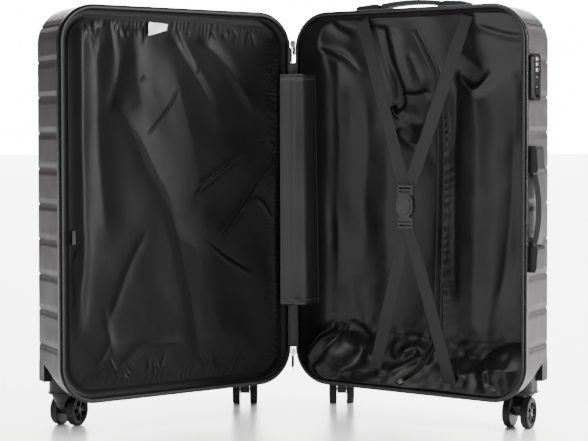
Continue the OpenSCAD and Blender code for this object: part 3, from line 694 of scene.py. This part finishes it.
def line_strip(name, side, body, path, profile, material, flip=False):
    """A narrow strip along a path of (u, d, z) points. profile is a list of (across, towards the viewer)."""
    p = np.asarray(path, float)
    t = np.gradient(p, axis=0)
    t /= np.linalg.norm(t, axis=1)[:, None]
    front = np.array([0, -1.0, 0])
    across = np.cross(t, front)
    across /= np.linalg.norm(across, axis=1)[:, None]
    up = np.cross(across, t)
    rows, uvs = [], []
    run = np.concatenate([[0], np.cumsum(np.linalg.norm(np.diff(p, axis=0), axis=1))])
    for a, h in profile:
        q = p + across * a + up * h
        rows.append(place(side, q[:, 0], q[:, 1], q[:, 2]))
        uvs.append(np.stack([run, np.full(len(run), a)], -1) / 1000)
    made = sheet_piece(name, np.array(rows), material, np.array(uvs), flip=flip)
    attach(made, body)
    return made


def line_teeth(name, side, body, path, pitch, size, lift, material):
    """Zip teeth along a path of (u, d, z) points."""
    p = np.asarray(path, float)
    run = np.concatenate([[0], np.cumsum(np.linalg.norm(np.diff(p, axis=0), axis=1))])
    s = np.arange(0, run[-1], pitch)
    q = np.stack([np.interp(s, run, p[:, k]) for k in range(3)], -1)
    slope = np.gradient(p, axis=0)
    t = np.stack([np.interp(s, run, slope[:, k]) for k in range(3)], -1)
    t /= np.linalg.norm(t, axis=1)[:, None]
    across = np.cross(t, np.array([0, -1.0, 0]))
    across /= np.linalg.norm(across, axis=1)[:, None]
    up = np.cross(across, t)
    au, ad = half_axes(side)
    basis = np.array([au, ad, [0, 0, 1]])
    q = q + up * lift
    centres = place(side, q[:, 0], q[:, 1], q[:, 2])
    points, faces = row_boxes(centres, t @ basis, across @ basis, up @ basis, size)
    made = piece(name, points, faces, material, smooth=False)
    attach(made, body)
    return made


def make_lining_zip(tape, coil, metal_bright, lining):
    """Access zip down the middle of the back lining, with its slider at the foot."""
    line = smooth_line([(231, 722), (240, 690), (257, 622), (263, 542), (262, 399), (257, 192), (252, 130),
                        (249, 106), (236, 86), (216, 72)], 190)
    tree = BVHTree.FromPolygons([v.co for v in lining.data.vertices],
                                [tuple(f.vertices) for f in lining.data.polygons])
    _, ad = half_axes(1)
    path = []
    for u, z in line:
        start = Vector(place(1, u, 2.0, z))
        hit = tree.ray_cast(start, Vector(ad))
        depth = 2.0 + 1000 * hit[3] if hit[0] is not None else 100.0
        path.append((u, depth - 1.2, z))
    path = np.array(path)
    kernel = np.ones(7) / 7
    path[3:-3, 1] = np.convolve(path[:, 1], kernel, "valid")
    for k, a in enumerate((-8.5, 3.2)):
        line_strip(f"lining_zip_tape_{k}", 1, "back_half", path,
                   [(a, -0.6), (a + 1.2, 0.9), (a + 4.2, 1.0), (a + 5.3, 0.2)], tape, True)
    line_teeth("lining_zip_coil", 1, "back_half", path, 2.0, (0.0012, 0.0052, 0.0016), 0.6, coil)
    slider = line_teeth("lining_zip_slider", 1, "back_half", path[-6:], 50, (0.010, 0.008, 0.004), 2.6,
                        metal_bright)
    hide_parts("lining_zip")


# ---------------------------------------------------------------- hinge


def make_hinge_strip(tape):
    """Cloth strip sewn to both rims, drawn bowed between them as the case stands open."""
    top = HIGH - 92
    seam = (8.0, 6.0)
    z = np.linspace(LOW + 66, top, 120)
    left = place(-1, *seam, z)
    right = place(1, *seam, z)
    f = np.linspace(0, 1, 17)
    rows, uvs = [], []
    for k in f:
        p = left * (1 - k) + right * k
        bow = 4 * k * (1 - k)
        wave = 0.5 * np.sin(k * 19 + 0.4 * np.sin(z / 40)) * (0.5 + 0.5 * np.sin(z / 90 + 1))
        p[:, 1] += (-3.2 * bow + 0.7 * wave) / 1000
        rows.append(p)
        uvs.append(np.stack([np.full(len(z), k * 16), z], -1) / 1000)
    made = sheet_piece("hinge_strip_cloth", np.array(rows), tape, np.array(uvs), flip=True)
    thicken(made, 0.0008)
    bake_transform(made)
    # The upper puller hangs against the back half, so the tape there stops short beside it.
    for side, body, reach in ((-1, "front_half", 1.0), (1, "back_half", 0.45)):
        t = np.linspace(top + 0.5, top + 28, 12)
        f = np.linspace(0, reach, 6)[:, None]
        u = seam[0] - 7.2 * f + 0 * t
        d = seam[1] - 5.5 * f - 0.5 * np.sin(np.pi * f) + 0 * t
        uv = np.stack([f * 9 + 0 * t, t + 0 * f], -1) / 1000
        tail = sheet_piece(f"{body}_tape_tail", place(side, u, d, t + 0 * f), tape, uv, flip=side > 0)
        thicken(tail, 0.0008)
        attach(tail, body)
    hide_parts("hinge_strip")
    return made


def make_flap(vinyl, thread):
    """Vinyl cover over the hinge, hemmed and stitched at its ends, with piping down its free edge."""
    low, high = 206.0, 644.0
    rows, columns = 140, 60
    z = np.linspace(low, high, rows)[:, None]
    f = np.linspace(0, 1, columns)[None]
    a = place(-1, 26, 4.5, 0)
    b = place(1, 50, 11, 0)
    skew = (z - low) / (high - low)
    bx = b[0] * (1 - skew) + (b[0] - 0.006) * skew
    by = b[1] + 0 * skew
    x = a[0] + (bx - a[0]) * f
    y = a[1] + (by - a[1]) * f
    bow = np.sin(np.pi * np.clip(f, 0, 1)) ** 0.8
    turn = np.clip((f - 0.62) / 0.38, 0, 1)
    y = y + 0.03 * turn**1.6 - 0.004 * np.sin(np.pi * np.clip(f / 0.85, 0, 1)) ** 1.5
    ridge = np.exp(-(((f - 0.3 - 0.08 * skew) / 0.05) ** 2)) * 0.0009
    soft = ripples(f * 60 + 0 * z, z + 0 * f, 180, 21) * 0.0007
    crease = np.exp(-(((f - 0.34 + 0.12 * skew) / 0.05) ** 2)) * 0.0012 * np.clip((0.35 - skew) * 4, 0, 1)
    y = y + ridge + soft * bow - crease
    end = np.minimum(z - low, high - z)
    hem = np.clip(end / 2.0, 0, 1) * np.clip((11 - end) / 2.0, 0, 1) * 0.0007
    y = y - hem - 0.0005 * np.sin(x * 1000 / 4.5) * np.exp(-(((end - 9) / 6) ** 2))
    points = np.stack(np.broadcast_arrays(x, y, z / 1000), -1)
    uv = np.stack(np.broadcast_arrays(f * 0.06, z / 1000), -1)
    made = sheet_piece("hinge_flap_cover", points, vinyl, uv)
    thicken(made, 0.0009)
    for k, at in enumerate((low + 9, high - 9)):
        row = int(round((at - low) / (high - low) * (rows - 1)))
        line = points[row, 2:-2]
        s = np.concatenate([[0], np.cumsum(np.linalg.norm(np.diff(line, axis=0), axis=1))])
        t = np.arange(0.001, s[-1], 0.0034)
        q = np.stack([np.interp(t, s, line[:, i]) for i in range(3)], -1)
        q[:, 1] -= 0.0009
        ones = np.ones(len(q))[:, None]
        stitch = (0.0024, 0.0006, 0.0006)
        boxes = row_boxes(q, ones * [1.0, 0, 0], ones * [0, 1.0, 0], ones * [0, 0, 1.0], stitch)
        seam = piece(f"hinge_flap_stitches_{k}", *boxes, thread, smooth=False)
        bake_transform(seam)
    edge = points[:, -1]
    tube = tube_along("hinge_flap_piping", edge, 0.0011, 8, vinyl)
    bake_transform(tube)
    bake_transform(made)
    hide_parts("hinge_flap")
    return made


def tube_along(name, path, radius, sides, material):
    """A round tube along points of the row frame."""
    p = np.asarray(path, float)
    t = np.gradient(p, axis=0)
    t /= np.maximum(1e-9, np.linalg.norm(t, axis=1))[:, None]
    first = np.cross(t, np.array([0.31, 0.87, 0.38]))
    first /= np.linalg.norm(first, axis=1)[:, None]
    second = np.cross(t, first)
    angle = np.linspace(0, 2 * math.pi, sides, endpoint=False)
    cos, sin = np.cos(angle)[None, :, None], np.sin(angle)[None, :, None]
    rows = p[:, None] + radius * (cos * first[:, None] + sin * second[:, None])
    uv = np.zeros((len(p), sides, 2))
    return sheet_piece(name, rows, material, uv, closed=True)


# ---------------------------------------------------------------- straps and label


def make_strap(name, start, stop, material, lift, twist):
    """Flat webbing between two points (u, d, z) of the back half, with a little sag."""
    a, b = np.array(start, float), np.array(stop, float)
    f = np.linspace(0, 1, 90)[:, None]
    path = a + (b - a) * f
    path[:, 1] += lift * np.sin(np.pi * f[:, 0]) + 0.7 * np.sin(7 * f[:, 0] + twist)
    t = np.gradient(path, axis=0)
    t /= np.linalg.norm(t, axis=1)[:, None]
    across = np.cross(t, np.array([0, -1.0, 0]))
    across /= np.linalg.norm(across, axis=1)[:, None]
    up = np.cross(across, t)
    lean = twist * 0.12 * np.sin(np.pi * f)
    across, up = across * np.cos(lean) + up * np.sin(lean), up * np.cos(lean) - across * np.sin(lean)
    run = np.concatenate([[0], np.cumsum(np.linalg.norm(np.diff(path, axis=0), axis=1))])
    rows, uvs = [], []
    for w in np.linspace(-12, 12, 13):
        edge = 0.35 * math.exp(-(((abs(w) - 10.6) / 0.9) ** 2))
        q = path + across * w + up * edge
        rows.append(place(1, q[:, 0], q[:, 1], q[:, 2]))
        uvs.append(np.stack([run, np.full(len(run), w)], -1) / 1000)
    made = sheet_piece(name, np.array(rows), material, np.array(uvs), flip=True)
    thicken(made, 0.0013)
    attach(made, "back_half")
    return made


def make_straps(material):
    top, foot = 427.0, 362.0
    first = make_strap("strap_top_hinge", (230, 12.5, top), (131, 34, 744), material, 2, 0.7)
    make_strap("strap_top_free", (237, 13.6, top), (344, 34, 744), material, 2, -0.6)
    make_strap("strap_foot_hinge", (232, 13.6, foot), (158, 27, 74), material, 2, 0.5)
    make_strap("strap_foot_free", (236, 12.5, foot), (317, 27, 74), material, 2, -0.8)
    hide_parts("packing_straps")


def make_rim_piping(name, side, body, material):
    """Fine glossy bead on the rim's outer front edge, which catches a line of light."""
    at, _, _, _ = outline(-0.3, 900)
    line = place(side, at[:, 0], 5.0, at[:, 1])
    path = np.vstack([line, line[:1]])
    made = tube_along(name, path, 0.0009, 8, material)
    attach(made, body)


def make_latches(material):
    """Chrome tongues in the lock's two puller slots."""
    au, ad = half_axes(1)
    z = np.array([629.0, 612.0])
    centres = place(1, OUTER + 5.2, 31, z)
    ones = np.ones((2, 1))
    points, faces = row_boxes(centres, ones * au, ones * ad, ones * [0, 0, 1.0], (0.007, 0.009, 0.0032))
    made = piece("lock_latches", points, faces, material, smooth=False)
    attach(made, "back_half")


def make_label(material):
    """Blank care label hanging from the divider's top seam, a little crumpled."""
    rows, columns = 22, 28
    v = np.linspace(0, 1, rows)[:, None]
    f = np.linspace(0, 1, columns)[None]
    u = 296 - 37 * f + 3 * v
    z = 732 - 3 * f - 25 * v * (1 - 0.55 * f) + 0 * f
    d = 7.0 - 3.0 * v + 1.6 * np.sin(f * 7 + v * 2) + 1.2 * np.sin(v * 6 - f * 3)
    u, z, d = np.broadcast_arrays(u, z, d)
    made = sheet_piece("care_label_cloth", place(-1, u, d, z), material, np.stack([u, z], -1) / 1000)
    thicken(made, 0.0003)
    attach(made, "front_half")
    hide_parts("care_label")


# ---------------------------------------------------------------- finish of the CAD nodes


def dress(node, material, bevel=0.0):
    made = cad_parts[node]
    made.data.materials.clear()
    made.data.materials.append(material)
    if bevel:
        rounding = made.modifiers.new("edges", "BEVEL")
        rounding.width = bevel
        rounding.segments = 2
        rounding.limit_method = "ANGLE"
        rounding.angle_limit = math.radians(40)
        rounding.harden_normals = False
    return made


def dress_wheel(node, tyre, hub):
    """Tyre material outside the hub's rim."""
    made = dress(node, hub)
    made.data.materials.append(tyre)
    low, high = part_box(node)
    centre = (low + high) / 2
    for face in made.data.polygons:
        at = face.center
        reach = math.sqrt((at.x - centre.x) ** 2 + (at.y - centre.y) ** 2 + (at.z - centre.z) ** 2)
        if reach > 0.0226 and abs(face.normal.z) >= 0 and wheel_radius(at, centre, node) > 0.0219:
            face.material_index = 1


def wheel_radius(at, centre, node):
    """Distance of a point from the wheel's axle line."""
    heading = {"back_outer": 242, "front_outer": 68}.get("_".join(node.split("_")[:2]), 90)
    a = math.radians(heading)
    axle = Vector((-math.sin(a), math.cos(a), 0))
    off = at - centre
    return (off - axle * off.dot(axle)).length


def make_materials():
    return {
        "shell": shell_material(),
        "trim": hard_plastic("rim_rubber", (0.007, 0.007, 0.007), 0.24, 600, 0.00004),
        "moulded": hard_plastic("moulded_black", (0.007, 0.007, 0.007), 0.4, 1100, 0.00012, 0.12, 0.28),
        "grip": hard_plastic("soft_grip", (0.012, 0.0115, 0.0115), 0.5, 1500, 0.00015),
        "gloss": hard_plastic("gloss_black", (0.006, 0.006, 0.006), 0.2, 500, 0.00004),
        "bead": hard_plastic("rim_bead", (0.006, 0.006, 0.006), 0.16, 400, 0.00002),
        "dial": hard_plastic("dial_black", (0.012, 0.012, 0.012), 0.25, 500, 0.00004),
        "buckle": hard_plastic("buckle_black", (0.02, 0.02, 0.02), 0.3, 700, 0.00006),
        "tyre": hard_plastic("tyre", (0.009, 0.009, 0.009), 0.6, 900, 0.0003, 0.12, 0.25),
        "hub": hard_plastic("hub", (0.012, 0.012, 0.012), 0.34, 700, 0.0001, 0.12, 0.35),
        "nickel": metal("nickel", (0.78, 0.74, 0.68), 0.2),
        "gunmetal": metal("gunmetal", (0.05, 0.05, 0.052), 0.35),
        "steel": metal("zinc_steel", (0.6, 0.6, 0.6), 0.34),
        "tube": metal("anodised", (0.55, 0.56, 0.58), 0.3, (1, 1, 0.02)),
        "satin": cloth("black_satin", (0.006, 0.0058, 0.0061), 0.4, 0.0006, 0.00004, 0.01, 0.0003, 0.1),
        "lining": cloth("lining_satin", (0.007, 0.007, 0.007), 0.38, 0.0006, 0.00004, 0.01, 0.0003, 0.36),
        "tape": cloth("zip_tape", (0.01, 0.01, 0.01), 0.6, 0.0009, 0.00015, 0.03),
        "edging": cloth("edging", (0.004, 0.004, 0.004), 0.45, 0.0011, 0.0001, 0.0, 0.0, 0.15),
        "webbing": webbing("strap_webbing", (0.0165, 0.0158, 0.0158)),
        "vinyl": leathercloth("flap_vinyl", (0.0105, 0.0103, 0.0104)),
        "thread": cloth("thread", (0.1, 0.1, 0.1), 0.6, 0.0004, 0.0001),
        "label": cloth("label_cloth", (0.85, 0.85, 0.84), 0.6, 0.0006, 0.00008),
    }


def dress_all(m):
    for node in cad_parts:
        if node.endswith("_shell"):
            dress(node, m["shell"])
        elif node.endswith("edge_trim"):
            dress(node, m["trim"], 0.0012)
        elif "_wheel_" in node:
            dress_wheel(node, m["tyre"], m["hub"])
        elif node.endswith(("_axle", "_screws")):
            dress(node, m["steel"])
        elif node.endswith("tubes"):
            dress(node, m["tube"])
        elif node == "divider_zip_puller":
            dress(node, m["gunmetal"], 0.0005)
        elif node == "main_zip_sliders":
            dress(node, m["nickel"], 0.0006)
        elif node.startswith("lock_dial"):
            dress(node, m["dial"], 0.0005)
        elif node.startswith("buckle"):
            dress(node, m["buckle"], 0.0008)
        elif node in ("lock_case", "lock_release"):
            dress(node, m["gloss"], 0.0009)
        elif node.endswith(("zip_tape", "_zip")):
            dress(node, m["tape"])
        elif node.endswith("_handle_grip"):
            dress(node, m["grip"], 0.0018)
        elif node.endswith("housing"):
            dress(node, m["moulded"], 0.0008)
        else:
            dress(node, m["moulded"], 0.0009)


make_camera()
make_lights()
make_floor()
made = make_materials()
dress_all(made)
make_divider(made["satin"], made["edging"])
lining = make_back_lining(made["lining"])
make_lining_zip(made["tape"], made["moulded"], made["nickel"], lining)
make_teeth("front_zip_teeth", -1, "front_half", made["moulded"])
make_teeth("back_zip_teeth", 1, "back_half", made["moulded"])
make_hinge_strip(made["tape"])
make_flap(made["vinyl"], made["thread"])
make_straps(made["webbing"])
make_rim_piping("front_rim_bead", -1, "front_half", made["bead"])
make_rim_piping("back_rim_bead", 1, "back_half", made["bead"])
make_latches(made["nickel"])
make_label(made["label"])
